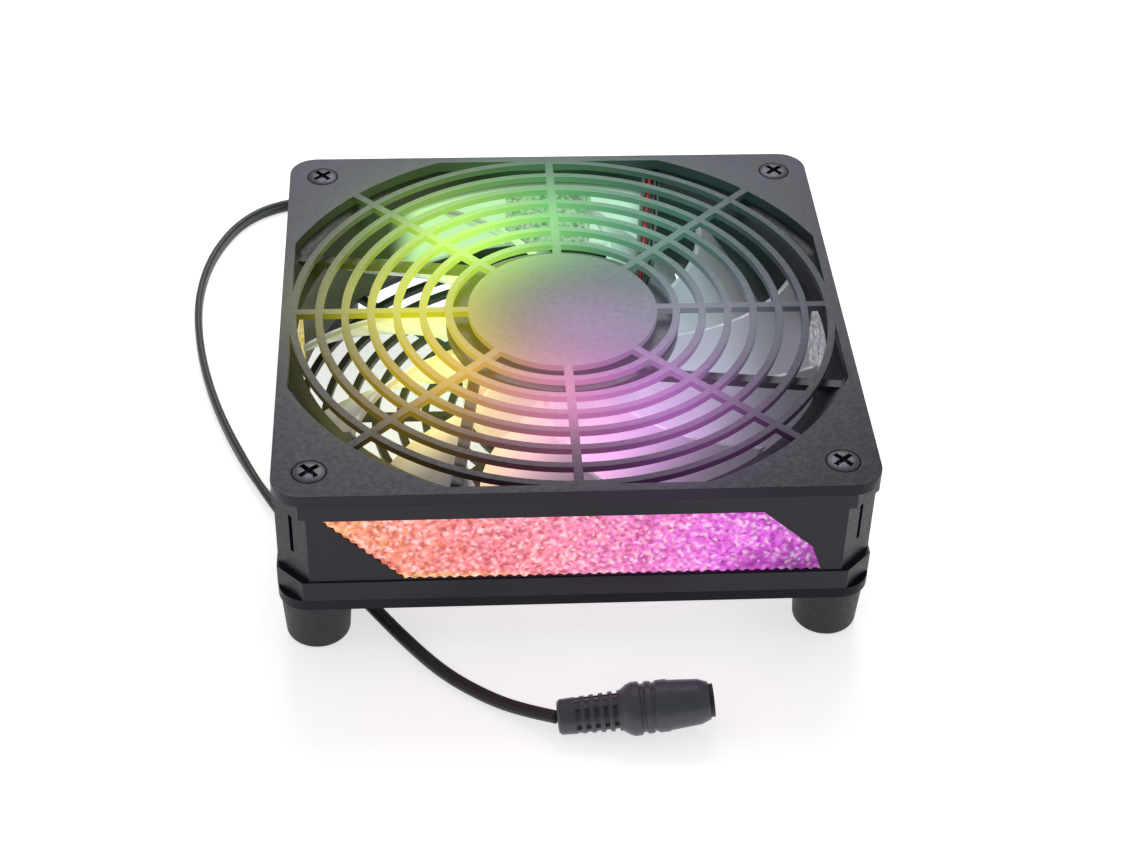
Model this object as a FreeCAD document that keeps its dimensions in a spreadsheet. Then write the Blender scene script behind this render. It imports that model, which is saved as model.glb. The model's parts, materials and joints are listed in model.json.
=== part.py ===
"""A 120 mm case fan between two guard plates, standing on four rubber feet, with its lead.

The origin is at floor level in the middle of the feet. +Z is up through the fan, the
front face with the clearest light panel looks along -Y, and sizes are in millimetres.
"""
import FreeCAD, Part
import math
import os
import re

from FreeCAD import Placement, Rotation, Vector
import Sketcher

SIZES = {
    # Stack of plates, frame and feet.
    "fan_side": 120, "hole_pitch": 105, "foot_tall": 12, "guard_thick": 2.5, "frame_deep": 25,
    # Guard plates.
    "guard_corner": 6, "opening_radius": 63.2, "opening_half": 57.8, "guard_disc": 20.3,
    "grille_thick": 1.4,
    "ring_pitch": 5.52, "ring_first": 24.4, "ring_width": 1.6, "spoke_width": 1.8,
    "screw_hole": 2.2, "seat_radius": 3.5, "seat_depth": 1.5,
    # Fan frame.
    "corner_cut": 5.3, "low_flange": 4.8, "high_flange": 3.5, "waist_inset": 0.3, "waist_cut": 6.4,
    "bore_radius": 57, "flare_radius": 63, "strip_inset": 1.8, "strip_half": 27,
    "slot_half": 0.35, "slot_low": 25, "slot_high": 34.5, "lug_reach": 62,
    "motor_base": 25, "base_thick": 2, "base_drop": 0.5, "tube_radius": 4, "sleeve_radius": 3,
    "tube_low": 19.5, "strut_half": 1.2, "strut_thick": 1.5, "trough_half": 2.1,
    "strut_start_x": 18.5, "strut_start_y": 13,
    "strut_end_x": 24.5, "strut_end_y": 59, "channel_half": 1.6, "channel_depth": 1.6,
    "wire_hole_x": 13.9, "wire_hole_y": 5.6, "wire_hole": 1.9, "grommet_long": 3.8,
    # Light panels and the boards behind them.
    "panel_deep": 3.6, "panel_low": 19.6, "panel_high": 35.3, "panel_left_high": 50.5,
    "panel_left_low": 34.4, "panel_right_high": 36.4, "panel_knee_x": 46.9,
    "panel_knee_z": 25.8, "panel_right_low": 49.1, "board_start": 26, "board_end": 44,
    "board_low": 23, "board_high": 31, "board_pocket": 2.2, "board_thick": 1, "chip_thick": 0.9,
    "chip_half": 1.25,
    # Impeller.
    "hub_radius": 21.5, "hub_inner": 20, "hub_low": 16.6, "hub_floor": 1.8, "hub_high": 35,
    "bush_radius": 2.8, "boss_radius": 4.4, "boss_high": 19.1, "bush_low": 16.95,
    "blade_count": 11, "blade_tip": 55.5, "blade_low": 17.6, "blade_high": 35.2,
    "blade_thick": 1.3, "blade_width_angle": 27, "blade_edge_angle": -2.75,
    "blade_edge_slope": 0.478, "blade_edge_curve": 0.00626, "blade_camber": 0.07,
    # Rotor.
    "shaft_radius": 1.5, "shaft_high": 36.25, "groove_radius": 1.2, "clip_low": 34.4,
    "clip_thick": 0.4, "clip_radius": 2.6, "yoke_inner": 19, "yoke_low": 18.6, "yoke_high": 34.6,
    "magnet_inner": 16.6, "magnet_low": 20.5, "magnet_high": 31.5,
    # Bearing and stator.
    "sleeve_bore": 1.55, "sleeve_low": 21, "sleeve_high": 34, "pad_radius": 2.9, "pad_low": 36.3,
    "core_radius": 15.9, "core_low": 23, "core_high": 30, "pole_half": 2.1, "hub_iron": 7.2,
    "shoe_radius": 13.6, "shoe_gap": 0.9, "insulator_thick": 0.6, "coil_start": 7.8,
    "coil_end": 12.3, "coil_half": 4.3, "coil_wall": 1.7, "driver_radius": 16, "driver_low": 32.6,
    "driver_high": 34.2, "driver_chip_high": 35.6, "sensor_low": 31.7, "capacitor_radius": 1.6,
    "capacitor_high": 36.4, "light_ring_inner": 21.9, "light_ring_outer": 24.8,
    "light_ring_thick": 0.6, "light_chip_thick": 0.5, "light_chip_half": 1.05,
    "light_chip_count": 8, "label_radius": 19, "label_thick": 0.15,
    # Screws, washers, nuts and feet.
    "screw_radius": 1.95, "head_radius": 3.3, "head_thick": 2.0, "head_crown": 0.5,
    "recess_half": 2.3, "recess_arm": 0.5, "recess_turn": 41, "recess_depth": 1.3, "screw_end": 1.6,
    "nut_corner": 4.04, "nut_low": 2.2, "nut_high": 5.4, "washer_radius": 4.05,
    "washer_high": 6.2, "foot_top_radius": 7.3, "foot_low_radius": 6.5, "foot_round": 1.3,
    "foot_recess": 4.1,
    # Lead, wires and socket.
    "cord_radius": 1.5, "wire_radius": 0.55, "wire_side": 0.7, "socket_turn": 0, "socket_roll": 15,
    "tail_radius": 3.5, "relief_radius": 4,
    "relief_long": 12.5, "collar_at": 15.5, "collar_half": 0.7, "collar_radius": 5.3, "barrel_radius": 4.95,
    "mouth_radius": 4.45, "mouth_at": 28, "nose_radius": 3.7, "nose_at": 29.9, "tail_round": 0.5,
    "socket_long": 30.8, "insert_radius": 3.3, "contact_radius": 2.75, "contact_wall": 0.3,
    "cavity_at": 20, "pin_radius": 1.05, "slot_first": 4.1, "slot_pitch": 1.85,
    "slot_width": 0.95, "slot_core": 3, "spine_half": 0.55,
}

CORD_POINTS = [
    (24.5, 60, 38.4), (24.5, 65.5, 38.4), (24.4, 70, 33), (24, 73, 23.5), (22.5, 77, 12), (17, 83, 3.2),
    (8, 89.5, 1.5), (-7, 97, 1.5), (-25, 102, 1.5), (-45, 104, 1.5), (-64, 103, 1.5),
    (-75.5, 95.5, 1.5), (-82.5, 80, 1.5), (-85, 62, 1.5), (-83.5, 43, 1.5), (-79.5, 24, 1.5),
    (-73.5, 6, 1.5), (-65.5, -12, 1.5), (-54.5, -30, 1.5), (-43.5, -45.5, 1.5), (-35.5, -57.5, 1.5),
    (-27, -68.5, 1.5), (-18, -75.7, 1.5), (-11, -80, 2.3), (-4.9, -83.1, 3.5),
]

doc = FreeCAD.newDocument("case_fan")
sheet = doc.addObject("Spreadsheet::Sheet", "sizes")
for row, (alias, number) in enumerate(SIZES.items(), start=1):
    sheet.set(f"A{row}", alias)
    sheet.set(f"B{row}", str(number))
    sheet.setAlias(f"B{row}", alias)
doc.recompute()

# Levels of the stack, as sums of the driving sizes.
FRAME_LOW = "(foot_tall + guard_thick)"
FRAME_HIGH = "(foot_tall + guard_thick + frame_deep)"
STACK_HIGH = "(foot_tall + 2 * guard_thick + frame_deep)"
BASE_HIGH = f"({FRAME_HIGH} - base_drop)"
BASE_LOW = f"({FRAME_HIGH} - base_drop - base_thick)"
WAIST_HALF = "(fan_side / 2 - waist_inset)"
HOLE = "hole_pitch / 2"

parts = {}


# ---------------------------------------------------------------- helpers

def cells(text):
    """An expression in which each plain word names a cell of the sheet."""
    return re.sub(r"\b([a-z][a-z_]*)\b(?!\()", r"sizes.\1", str(text))


def value(text):
    """The number that an expression gives."""
    result = sheet.evalExpression(cells(text))
    return float(getattr(result, "Value", result))


def new_body(label):
    body = doc.addObject("PartDesign::Body", label)
    body.Label = label
    body.AllowCompound = True
    return body


def origin_part(body, role):
    return next(item for item in body.Origin.OriginFeatures if item.Role == role)


def new_sketch(body, level="0", plane="XY_Plane", right="0", up="0"):
    """A sketch `level` along the normal of one of the body's origin planes."""
    sketch = body.newObject("Sketcher::SketchObject", body.Label + "_sketch")
    sketch.AttachmentSupport = [(origin_part(body, plane), "")]
    sketch.MapMode = "FlatFace"
    for axis, text in zip("xyz", (right, up, level)):
        sketch.setExpression(f"AttachmentOffset.Base.{axis}", cells(text))
    return sketch


def circle(sketch, radius, x="0", y="0"):
    index = sketch.addGeometry(Part.Circle(Vector(value(x), value(y), 0), Vector(0, 0, 1), value(radius)))
    for kind, text in (("DistanceX", x), ("DistanceY", y)):
        number = sketch.addConstraint(Sketcher.Constraint(kind, -1, 1, index, 3, value(text)))
        sketch.setExpression(f"Constraints[{number}]", cells(text))
    number = sketch.addConstraint(Sketcher.Constraint("Radius", index, value(radius)))
    sketch.setExpression(f"Constraints[{number}]", cells(radius))


def polygon(sketch, points):
    """A closed outline whose corners are pairs of expressions."""
    corners = [Vector(value(x), value(y), 0) for x, y in points]
    first = sketch.GeometryCount
    count = len(points)
    for i in range(count):
        sketch.addGeometry(Part.LineSegment(corners[i], corners[(i + 1) % count]))
    for i, pair in enumerate(points):
        before = first + (i - 1) % count
        sketch.addConstraint(Sketcher.Constraint("Coincident", before, 2, first + i, 1))
        for kind, text in zip(("DistanceX", "DistanceY"), pair):
            number = sketch.addConstraint(Sketcher.Constraint(kind, -1, 1, first + i, 1, value(text)))
            sketch.setExpression(f"Constraints[{number}]", cells(text))


def rectangle(sketch, low_x, low_y, high_x, high_y):
    polygon(sketch, [(low_x, low_y), (high_x, low_y), (high_x, high_y), (low_x, high_y)])


def flattened_circle(sketch, radius, half):
    """A circle about the origin, cut flat on four sides by a square of half-width `half`."""
    reach = math.sqrt(value(radius) ** 2 - value(half) ** 2)
    turn = [(math.cos(k * math.pi / 2), math.sin(k * math.pi / 2)) for k in range(4)]
    span = math.atan2(reach, value(half))
    rim = Part.Circle(Vector(), Vector(0, 0, 1), value(radius))
    for k, (c, s) in enumerate(turn):
        low, high = [Vector(c * value(half) - s * y, s * value(half) + c * y, 0) for y in (-reach, reach)]
        line = sketch.addGeometry(Part.LineSegment(low, high))
        start = k * math.pi / 2 + span
        arc = sketch.addGeometry(Part.ArcOfCircle(rim, start, start + math.pi / 2 - 2 * span))
        kind, upright, sign = ("DistanceX", "Vertical", c) if k % 2 == 0 else ("DistanceY", "Horizontal", s)
        sketch.addConstraint(Sketcher.Constraint(upright, line))
        text = f"{round(sign)} * {half}"
        number = sketch.addConstraint(Sketcher.Constraint(kind, -1, 1, line, 1, value(text)))
        sketch.setExpression(f"Constraints[{number}]", cells(text))
        sketch.addConstraint(Sketcher.Constraint("Coincident", -1, 1, arc, 3))
        sketch.addConstraint(Sketcher.Constraint("Coincident", line, 2, arc, 1))
        if k == 0:
            number = sketch.addConstraint(Sketcher.Constraint("Radius", arc, value(radius)))
            sketch.setExpression(f"Constraints[{number}]", cells(radius))
    for k in range(4):
        sketch.addConstraint(Sketcher.Constraint("Coincident", 2 * k + 1, 2, (2 * k + 2) % 8, 1))


def feature(body, kind, sketch):
    item = body.newObject(f"PartDesign::{kind}", f"{body.Label}_{kind.lower()}")
    item.Profile = sketch
    body.Tip = item
    return item


def pad(body, sketch, length, back=False):
    item = feature(body, "Pad", sketch)
    item.Reversed = back
    item.setExpression("Length", cells(length))
    doc.recompute()
    return item


def pocket(body, sketch, depth):
    """Cuts against the sketch's normal, and stops the script if nothing is removed."""
    before = body.Shape.Volume
    item = feature(body, "Pocket", sketch)
    item.setExpression("Length", cells(depth))
    doc.recompute()
    if not body.Shape.Volume < before - 1e-6:
        raise RuntimeError(f"{item.Label} removes nothing")
    return item


def turned(body, sketch, cut=False):
    """Turns the sketch a whole turn about its own vertical axis."""
    before = body.Shape.Volume if cut else 0
    item = feature(body, "Groove" if cut else "Revolution", sketch)
    item.ReferenceAxis = (sketch, ["V_Axis"])
    item.Angle = 360
    doc.recompute()
    if cut and not body.Shape.Volume < before - 1e-6:
        raise RuntimeError(f"{item.Label} removes nothing")
    return item


def repeat(body, features, count="4"):
    """Repeats features evenly round the body's own Z axis."""
    pattern = body.newObject("PartDesign::PolarPattern", body.Label + "_pattern")
    pattern.Originals = features
    pattern.Axis = (origin_part(body, "Z_Axis"), [""])
    pattern.Angle = 360
    pattern.setExpression("Occurrences", cells(count))
    body.Tip = pattern
    doc.recompute()
    return pattern


def fillet(body, radius, chosen):
    """Rounds the edges of the body's tip that `chosen` accepts."""
    base = body.Tip
    names = [f"Edge{i}" for i, edge in enumerate(base.Shape.Edges, start=1) if chosen(edge)]
    item = body.newObject("PartDesign::Fillet", body.Label + "_fillet")
    item.Base = (base, names)
    item.setExpression("Radius", cells(radius))
    body.Tip = item
    doc.recompute()
    return item


def turned_part(label, profile):
    """A body turned about +Z from corners given as (radius, height)."""
    body = new_body(label)
    sketch = new_sketch(body, plane="XZ_Plane")
    polygon(sketch, profile)
    turned(body, sketch)
    parts[label] = body
    return body


def tube(label, inner, outer, low, high):
    return turned_part(label, [(inner, low), (outer, low), (outer, high), (inner, high)])


def octagon(half, cut):
    """Corners of a square with its corners cut off."""
    long, short = half, f"({half} - {cut})"
    signs = [(1, -1, 0), (1, 1, 0), (1, 1, 1), (-1, 1, 1), (-1, 1, 0), (-1, -1, 0), (-1, -1, 1), (1, -1, 1)]
    return [(f"{x} * {short if swap else long}", f"{y} * {long if swap else short}")
            for x, y, swap in signs]


def centred_square(half):
    return [(f"{x} * {half}", f"{y} * {half}") for x, y in ((-1, -1), (1, -1), (1, 1), (-1, 1))]


def shape_part(label, shape):
    """A sub-part whose shape is worked out in this script from the sheet's sizes."""
    item = doc.addObject("Part::Feature", label)
    item.Label = label
    item.Shape = shape
    parts[label] = item
    return item


# ---------------------------------------------------------------- guard plates

def guard(label, low, grille_low):
    """A square plate with a thinner ring grille, eight spokes and a centre disc."""
    body = new_body(label)
    sketch = new_sketch(body, low)
    polygon(sketch, centred_square("fan_side / 2"))
    pad(body, sketch, "guard_thick")
    fillet(body, "guard_corner", lambda edge: edge.BoundBox.ZLength > value("guard_thick") / 2)
    sketch = new_sketch(body, f"{low} + guard_thick")
    flattened_circle(sketch, "opening_radius", "opening_half")
    pocket(body, sketch, "guard_thick")
    sketch = new_sketch(body, grille_low)
    circle(sketch, "guard_disc")
    pad(body, sketch, "grille_thick")
    for turn, reach in ((0, "(opening_half + 1)"), (45, "(opening_radius + 1)")):
        sketch = new_sketch(body, grille_low)
        c, s = math.cos(math.radians(turn)), math.sin(math.radians(turn))
        ends = [("(guard_disc - 1)", -1), (reach, -1), (reach, 1), ("(guard_disc - 1)", 1)]
        polygon(sketch, [(f"{c:.9f} * {along} - {s:.9f} * {side} * spoke_width / 2",
                          f"{s:.9f} * {along} + {c:.9f} * {side} * spoke_width / 2")
                         for along, side in ends])
        repeat(body, [pad(body, sketch, "grille_thick")])
    sketch = new_sketch(body, grille_low)
    for ring in range(7):
        middle = f"ring_first + {ring} * ring_pitch"
        circle(sketch, f"{middle} - ring_width / 2")
        circle(sketch, f"{middle} + ring_width / 2")
    pad(body, sketch, "grille_thick")
    sketch = new_sketch(body, f"{low} + guard_thick")
    circle(sketch, "screw_hole", HOLE, HOLE)
    repeat(body, [pocket(body, sketch, "guard_thick")])
    parts[label] = body
    return body


top_guard = guard("top_guard", FRAME_HIGH, f"({STACK_HIGH} - grille_thick)")
seat = new_sketch(top_guard, STACK_HIGH)
circle(seat, "seat_radius", HOLE, HOLE)
repeat(top_guard, [pocket(top_guard, seat, "seat_depth")])
guard("bottom_guard", "foot_tall", "foot_tall")


# ---------------------------------------------------------------- fan frame

def window_outline(sketch):
    """The slanted outline of a light panel, seen from outside."""
    polygon(sketch, [("-panel_left_high", "panel_high"), ("-panel_left_low", "panel_low"),
                     ("panel_right_low", "panel_low"), ("panel_knee_x", "panel_knee_z"),
                     ("panel_right_high", "panel_high")])


def slanted_bar(sketch, half):
    """The outline of a strut, from the motor base to the back wall."""
    polygon(sketch, [(f"strut_start_x - {half}", "strut_start_y"),
                     (f"strut_start_x + {half}", "strut_start_y"),
                     (f"strut_end_x + {half}", "strut_end_y"),
                     (f"strut_end_x - {half}", "strut_end_y")])


frame = new_body("fan_frame")
parts["fan_frame"] = frame

block = new_sketch(frame, FRAME_LOW)
polygon(block, octagon("fan_side / 2", "corner_cut"))
pad(frame, block, "frame_deep")

waist = new_sketch(frame, f"{FRAME_HIGH} - high_flange")
polygon(waist, centred_square("(fan_side / 2 + 5)"))
polygon(waist, octagon(WAIST_HALF, "waist_cut"))
pocket(frame, waist, "frame_deep - low_flange - high_flange")

bore = new_sketch(frame, FRAME_HIGH)
circle(bore, "bore_radius")
pocket(frame, bore, "frame_deep")

for wide_level, narrow_level in ((FRAME_HIGH, f"({FRAME_HIGH} - high_flange)"),
                                 (FRAME_LOW, f"({FRAME_LOW} + low_flange)")):
    flare = new_sketch(frame, plane="XZ_Plane")
    polygon(flare, [("bore_radius - 1", narrow_level), ("bore_radius", narrow_level),
                    ("flare_radius", wide_level), ("bore_radius - 1", wide_level)])
    turned(frame, flare, cut=True)

for strip_level, strip_tall in ((FRAME_LOW, "low_flange"), (f"{FRAME_HIGH} - high_flange", "high_flange")):
    strip = new_sketch(frame, strip_level)
    rectangle(strip, "fan_side / 2 - strip_inset", "-strip_half", "fan_side / 2", "strip_half")
    repeat(frame, [pad(frame, strip, strip_tall)])

lug = new_sketch(frame, FRAME_HIGH)
circle(lug, "screw_hole", HOLE, HOLE)
repeat(frame, [pocket(frame, lug, "frame_deep")])
slot = new_sketch(frame, "slot_high")
polygon(slot, [(f"{HOLE} - slot_half", f"{HOLE} + slot_half"),
               (f"{HOLE} + slot_half", f"{HOLE} - slot_half"),
               ("lug_reach + slot_half", "lug_reach - slot_half"),
               ("lug_reach - slot_half", "lug_reach + slot_half")])
repeat(frame, [pocket(frame, slot, "slot_high - slot_low")])

window = new_sketch(frame, WAIST_HALF, "XZ_Plane")
window_outline(window)
repeat(frame, [pocket(frame, window, "panel_deep")])
board_seat = new_sketch(frame, f"{WAIST_HALF} - panel_deep", "XZ_Plane")
rectangle(board_seat, "board_start", "board_low", "board_end", "board_high")
repeat(frame, [pocket(frame, board_seat, "board_pocket")])

base = new_sketch(frame, BASE_LOW)
circle(base, "motor_base")
pad(frame, base, "base_thick")
strut = new_sketch(frame, f"{BASE_HIGH} - strut_thick")
slanted_bar(strut, "strut_half")
repeat(frame, [pad(frame, strut, "strut_thick")])
trough = new_sketch(frame, BASE_LOW)
slanted_bar(trough, "trough_half")
pad(frame, trough, "base_thick")
holder = new_sketch(frame, "tube_low")
circle(holder, "tube_radius")
circle(holder, "sleeve_radius")
pad(frame, holder, f"{BASE_LOW} - tube_low")

hole = new_sketch(frame, BASE_HIGH)
circle(hole, "wire_hole", "wire_hole_x", "wire_hole_y")
pocket(frame, hole, "base_thick")
channel = new_sketch(frame, FRAME_HIGH)
polygon(channel, [("wire_hole_x - channel_half", "wire_hole_y"),
                  ("wire_hole_x + channel_half", "wire_hole_y"),
                  ("strut_start_x + channel_half", "strut_start_y"),
                  ("strut_end_x + channel_half", "fan_side / 2 - grommet_long"),
                  ("strut_end_x + channel_half", "fan_side / 2"),
                  ("strut_end_x - channel_half", "fan_side / 2"),
                  ("strut_end_x - channel_half", "fan_side / 2 - grommet_long"),
                  ("strut_start_x - channel_half", "strut_start_y")])
pocket(frame, channel, "base_drop + channel_depth")


# ---------------------------------------------------------------- light panels and their boards

SIDES = {"front": 0, "right": 90, "back": 180, "left": 270}


def turn_to_side(item, turn):
    item.Placement = Placement(Vector(), Rotation(Vector(0, 0, 1), turn))


for side, turn in SIDES.items():
    panel = new_body(f"light_panel_{side}")
    outline = new_sketch(panel, WAIST_HALF, "XZ_Plane")
    window_outline(outline)
    pad(panel, outline, "panel_deep", back=True)
    inner = new_sketch(panel, FRAME_HIGH)
    circle(inner, "bore_radius")
    pocket(panel, inner, "frame_deep")
    turn_to_side(panel, turn)
    parts[panel.Label] = panel

    board = new_body(f"light_board_{side}")
    outline = new_sketch(board, f"{WAIST_HALF} - panel_deep - board_pocket + board_thick", "XZ_Plane")
    rectangle(outline, "board_start", "board_low", "board_end", "board_high")
    pad(board, outline, "board_thick", back=True)
    turn_to_side(board, turn)
    parts[board.Label] = board

side_chips = new_body("side_light_chips")
parts["side_light_chips"] = side_chips
chips = new_sketch(side_chips, f"{WAIST_HALF} - panel_deep - board_pocket + board_thick", "XZ_Plane")
for third in (1, 3, 5):
    middle = f"(board_start + (board_end - board_start) * {third} / 6)"
    height = "(board_low + board_high) / 2"
    rectangle(chips, f"{middle} - chip_half", f"{height} - chip_half",
              f"{middle} + chip_half", f"{height} + chip_half")
repeat(side_chips, [pad(side_chips, chips, "chip_thick")])


# ---------------------------------------------------------------- impeller and rotor

def blade_point(radius, share):
    """A point of the blade's middle surface: share 0 is its low edge and 1 its high edge."""
    out = radius - value("hub_radius")
    high_edge = (value("blade_edge_angle") + value("blade_edge_slope") * out
                 + value("blade_edge_curve") * out ** 2)
    angle = math.radians(high_edge - value("blade_width_angle") * (1 - share))
    rise = value("blade_high") - value("blade_low")
    lift = share - value("blade_camber") * math.sin(math.pi * share)
    height = value("blade_low") + rise * (0.03 + 0.94 * lift)
    return Vector(radius * math.cos(angle), radius * math.sin(angle), height)


def blade():
    """One blade: a swept surface, thickened, and trimmed to the hub and the tip circle."""
    root, tip = value("hub_inner + 0.5"), value("blade_tip")
    stations = [root - 2 + (tip + 4 - root) * i / 5 for i in range(6)]
    surface = Part.BSplineSurface()
    surface.interpolate([[blade_point(radius, i / 6) for i in range(7)] for radius in stations])
    thick = value("blade_thick")
    solid = surface.toShape().makeOffsetShape(thick, 1e-3, fill=True)
    low, high = value("blade_low"), value("blade_high")
    trim = Part.makeCylinder(tip, high - low, Vector(0, 0, low))
    trim = trim.cut(Part.makeCylinder(root, high - low, Vector(0, 0, low)))
    return solid.common(trim).Solids[0]


hub = new_body("impeller_hub")
cup = new_sketch(hub, plane="XZ_Plane")
polygon(cup, [("0", "hub_low"), ("hub_radius", "hub_low"), ("hub_radius", "hub_high"),
              ("hub_inner", "hub_high"),
              ("hub_inner", "hub_low + hub_floor"), ("boss_radius", "hub_low + hub_floor"),
              ("boss_radius", "boss_high"), ("bush_radius", "boss_high"), ("bush_radius", "bush_low"),
              ("0", "bush_low")])
turned(hub, cup)
one_blade = blade()
step = 360 / value("blade_count")
blades = [one_blade.rotated(Vector(), Vector(0, 0, 1), step * i) for i in range(int(value("blade_count")))]
impeller = shape_part("impeller", hub.Shape.fuse(blades))

tube("rotor_yoke", "yoke_inner", "hub_inner", "yoke_low", "yoke_high")
tube("ring_magnet", "magnet_inner", "yoke_inner", "magnet_low", "magnet_high")
tube("shaft_bush", "shaft_radius", "bush_radius", "bush_low", "boss_high")
turned_part("shaft", [("0", "bush_low"), ("shaft_radius", "bush_low"), ("shaft_radius", "clip_low"),
                      ("groove_radius", "clip_low"), ("groove_radius", "clip_low + clip_thick"),
                      ("shaft_radius", "clip_low + clip_thick"), ("shaft_radius", "shaft_high"),
                      ("0", "shaft_high")])
tube("retaining_clip", "groove_radius", "clip_radius", "clip_low", "clip_low + clip_thick")


# ---------------------------------------------------------------- bearing and stator

tube("bearing_sleeve", "sleeve_bore", "sleeve_radius", "sleeve_low", "sleeve_high")
turned_part("thrust_pad", [("0", "pad_low"), ("pad_radius", "pad_low"),
                           ("pad_radius", BASE_LOW), ("0", BASE_LOW)])

core = new_body("stator_core")
plate = new_sketch(core, "core_low")
circle(plate, "core_radius")
circle(plate, "tube_radius")
pad(core, plate, "core_high - core_low")
winding_space = new_sketch(core, "core_high")
polygon(winding_space, [("pole_half", "hub_iron"), ("hub_iron", "pole_half"), ("shoe_radius", "pole_half"),
                        ("0.78 * shoe_radius", "0.62 * shoe_radius"),
                        ("0.62 * shoe_radius", "0.78 * shoe_radius"),
                        ("pole_half", "shoe_radius")])
mouth = new_sketch(core, "core_high")
polygon(mouth, [("hub_iron - shoe_gap / 2", "hub_iron + shoe_gap / 2"),
                ("hub_iron + shoe_gap / 2", "hub_iron - shoe_gap / 2"),
                ("core_radius + shoe_gap / 2", "core_radius - shoe_gap / 2"),
                ("core_radius - shoe_gap / 2", "core_radius + shoe_gap / 2")])
repeat(core, [pocket(core, winding_space, "core_high - core_low"),
              pocket(core, mouth, "core_high - core_low")])
parts["stator_core"] = core

for label, low in (("stator_insulator_top", "core_high"),
                   ("stator_insulator_bottom", "(core_low - insulator_thick)")):
    insulator = new_body(label)
    disc = new_sketch(insulator, low)
    circle(disc, "hub_iron")
    circle(disc, "tube_radius")
    pad(insulator, disc, "insulator_thick")
    arm = new_sketch(insulator, low)
    rectangle(arm, "tube_radius + 2", "-pole_half", "shoe_radius", "pole_half")
    repeat(insulator, [pad(insulator, arm, "insulator_thick")])
    parts[label] = insulator

coils = new_body("coil_windings")
section = new_sketch(coils, "coil_start", "YZ_Plane")
coil_low, coil_high = "(core_low - insulator_thick)", "(core_high + insulator_thick)"
rectangle(section, "-coil_half", f"{coil_low} - coil_wall + 0.5",
          "coil_half", f"{coil_high} + coil_wall - 0.5")
rectangle(section, "-pole_half", coil_low, "pole_half", coil_high)
repeat(coils, [pad(coils, section, "coil_end - coil_start")])
parts["coil_windings"] = coils

tube("driver_board", "tube_radius", "driver_radius", "driver_low", "driver_high")

driver_chip = new_body("driver_chip")
outline = new_sketch(driver_chip, "driver_high")
rectangle(outline, "-11", "-9.5", "-6.2", "-5.6")
pad(driver_chip, outline, "driver_chip_high - driver_high")
parts["driver_chip"] = driver_chip

hall_sensor = new_body("hall_sensor")
outline = new_sketch(hall_sensor, "sensor_low")
rectangle(outline, "8.6", "8.6", "11.2", "10.2")
pad(hall_sensor, outline, "driver_low - sensor_low")
parts["hall_sensor"] = hall_sensor

capacitor = new_body("capacitor")
outline = new_sketch(capacitor, "driver_high")
circle(outline, "capacitor_radius", "-8", "8.5")
pad(capacitor, outline, "capacitor_high - driver_high")
parts["capacitor"] = capacitor

tube("hub_light_board", "light_ring_inner", "light_ring_outer", f"{BASE_LOW} - light_ring_thick", BASE_LOW)
hub_chips = new_body("hub_light_chips")
outline = new_sketch(hub_chips, f"{BASE_LOW} - light_ring_thick - light_chip_thick")
ring_middle = "(light_ring_inner + light_ring_outer) / 2"
rectangle(outline, f"{ring_middle} - light_chip_half", "-light_chip_half",
          f"{ring_middle} + light_chip_half", "light_chip_half")
repeat(hub_chips, [pad(hub_chips, outline, "light_chip_thick")], "light_chip_count")
parts["hub_light_chips"] = hub_chips

turned_part("motor_label", [("0", BASE_HIGH), ("label_radius", BASE_HIGH),
                            ("label_radius", f"{BASE_HIGH} + label_thick"),
                            ("0", f"{BASE_HIGH} + label_thick")])


# ---------------------------------------------------------------- screws, washers, nuts and feet

def corner_part(label, profile):
    """Four equal turned solids on the corner holes, kept as one group."""
    body = new_body(label)
    sketch = new_sketch(body, f"-{HOLE}", "XZ_Plane", right=HOLE)
    polygon(sketch, profile)
    turned(body, sketch)
    parts[label] = body
    return body


HEAD_LOW = f"({STACK_HIGH} - seat_depth)"
HEAD_HIGH = f"({STACK_HIGH} - seat_depth + head_thick)"
screws = corner_part("guard_screws", [
    ("0", "screw_end"), ("screw_radius - 0.4", "screw_end"), ("screw_radius", "screw_end + 0.4"),
    ("screw_radius", HEAD_LOW), ("head_radius", HEAD_LOW), ("head_radius", f"{HEAD_HIGH} - head_crown"),
    ("0.72 * head_radius", f"{HEAD_HIGH} - 0.15"), ("0", HEAD_HIGH)])
recess = new_sketch(screws, HEAD_HIGH, right=HOLE, up=HOLE)
cross = []
for quarter in range(4):
    for along, across in (("recess_arm", "recess_arm"), ("recess_half", "recess_arm"),
                          ("recess_half", "-recess_arm")):
        angle = f"(recess_turn + {90 * quarter})"
        cross.append((f"{along} * cos({angle}) - ({across}) * sin({angle})",
                      f"{along} * sin({angle}) + ({across}) * cos({angle})"))
polygon(recess, [point for quarter in range(4) for point in (
    cross[3 * quarter + 2], cross[3 * quarter + 1], cross[3 * quarter])])
pocket(screws, recess, "recess_depth")
repeat(screws, [item for item in screws.Group if item.isDerivedFrom("PartDesign::Feature")])

washers = corner_part("foot_washers", [("screw_hole", "nut_high"), ("washer_radius", "nut_high"),
                                       ("washer_radius", "washer_high"), ("screw_hole", "washer_high")])
repeat(washers, [washers.Tip])

nuts = new_body("foot_nuts")
outline = new_sketch(nuts, "nut_low", right=HOLE, up=HOLE)
polygon(outline, [(f"nut_corner * {math.cos(math.radians(60 * k)):.6f}",
                   f"nut_corner * {math.sin(math.radians(60 * k)):.6f}") for k in range(6)])
circle(outline, "screw_radius")
repeat(nuts, [pad(nuts, outline, "nut_high - nut_low")])
parts["foot_nuts"] = nuts

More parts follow.
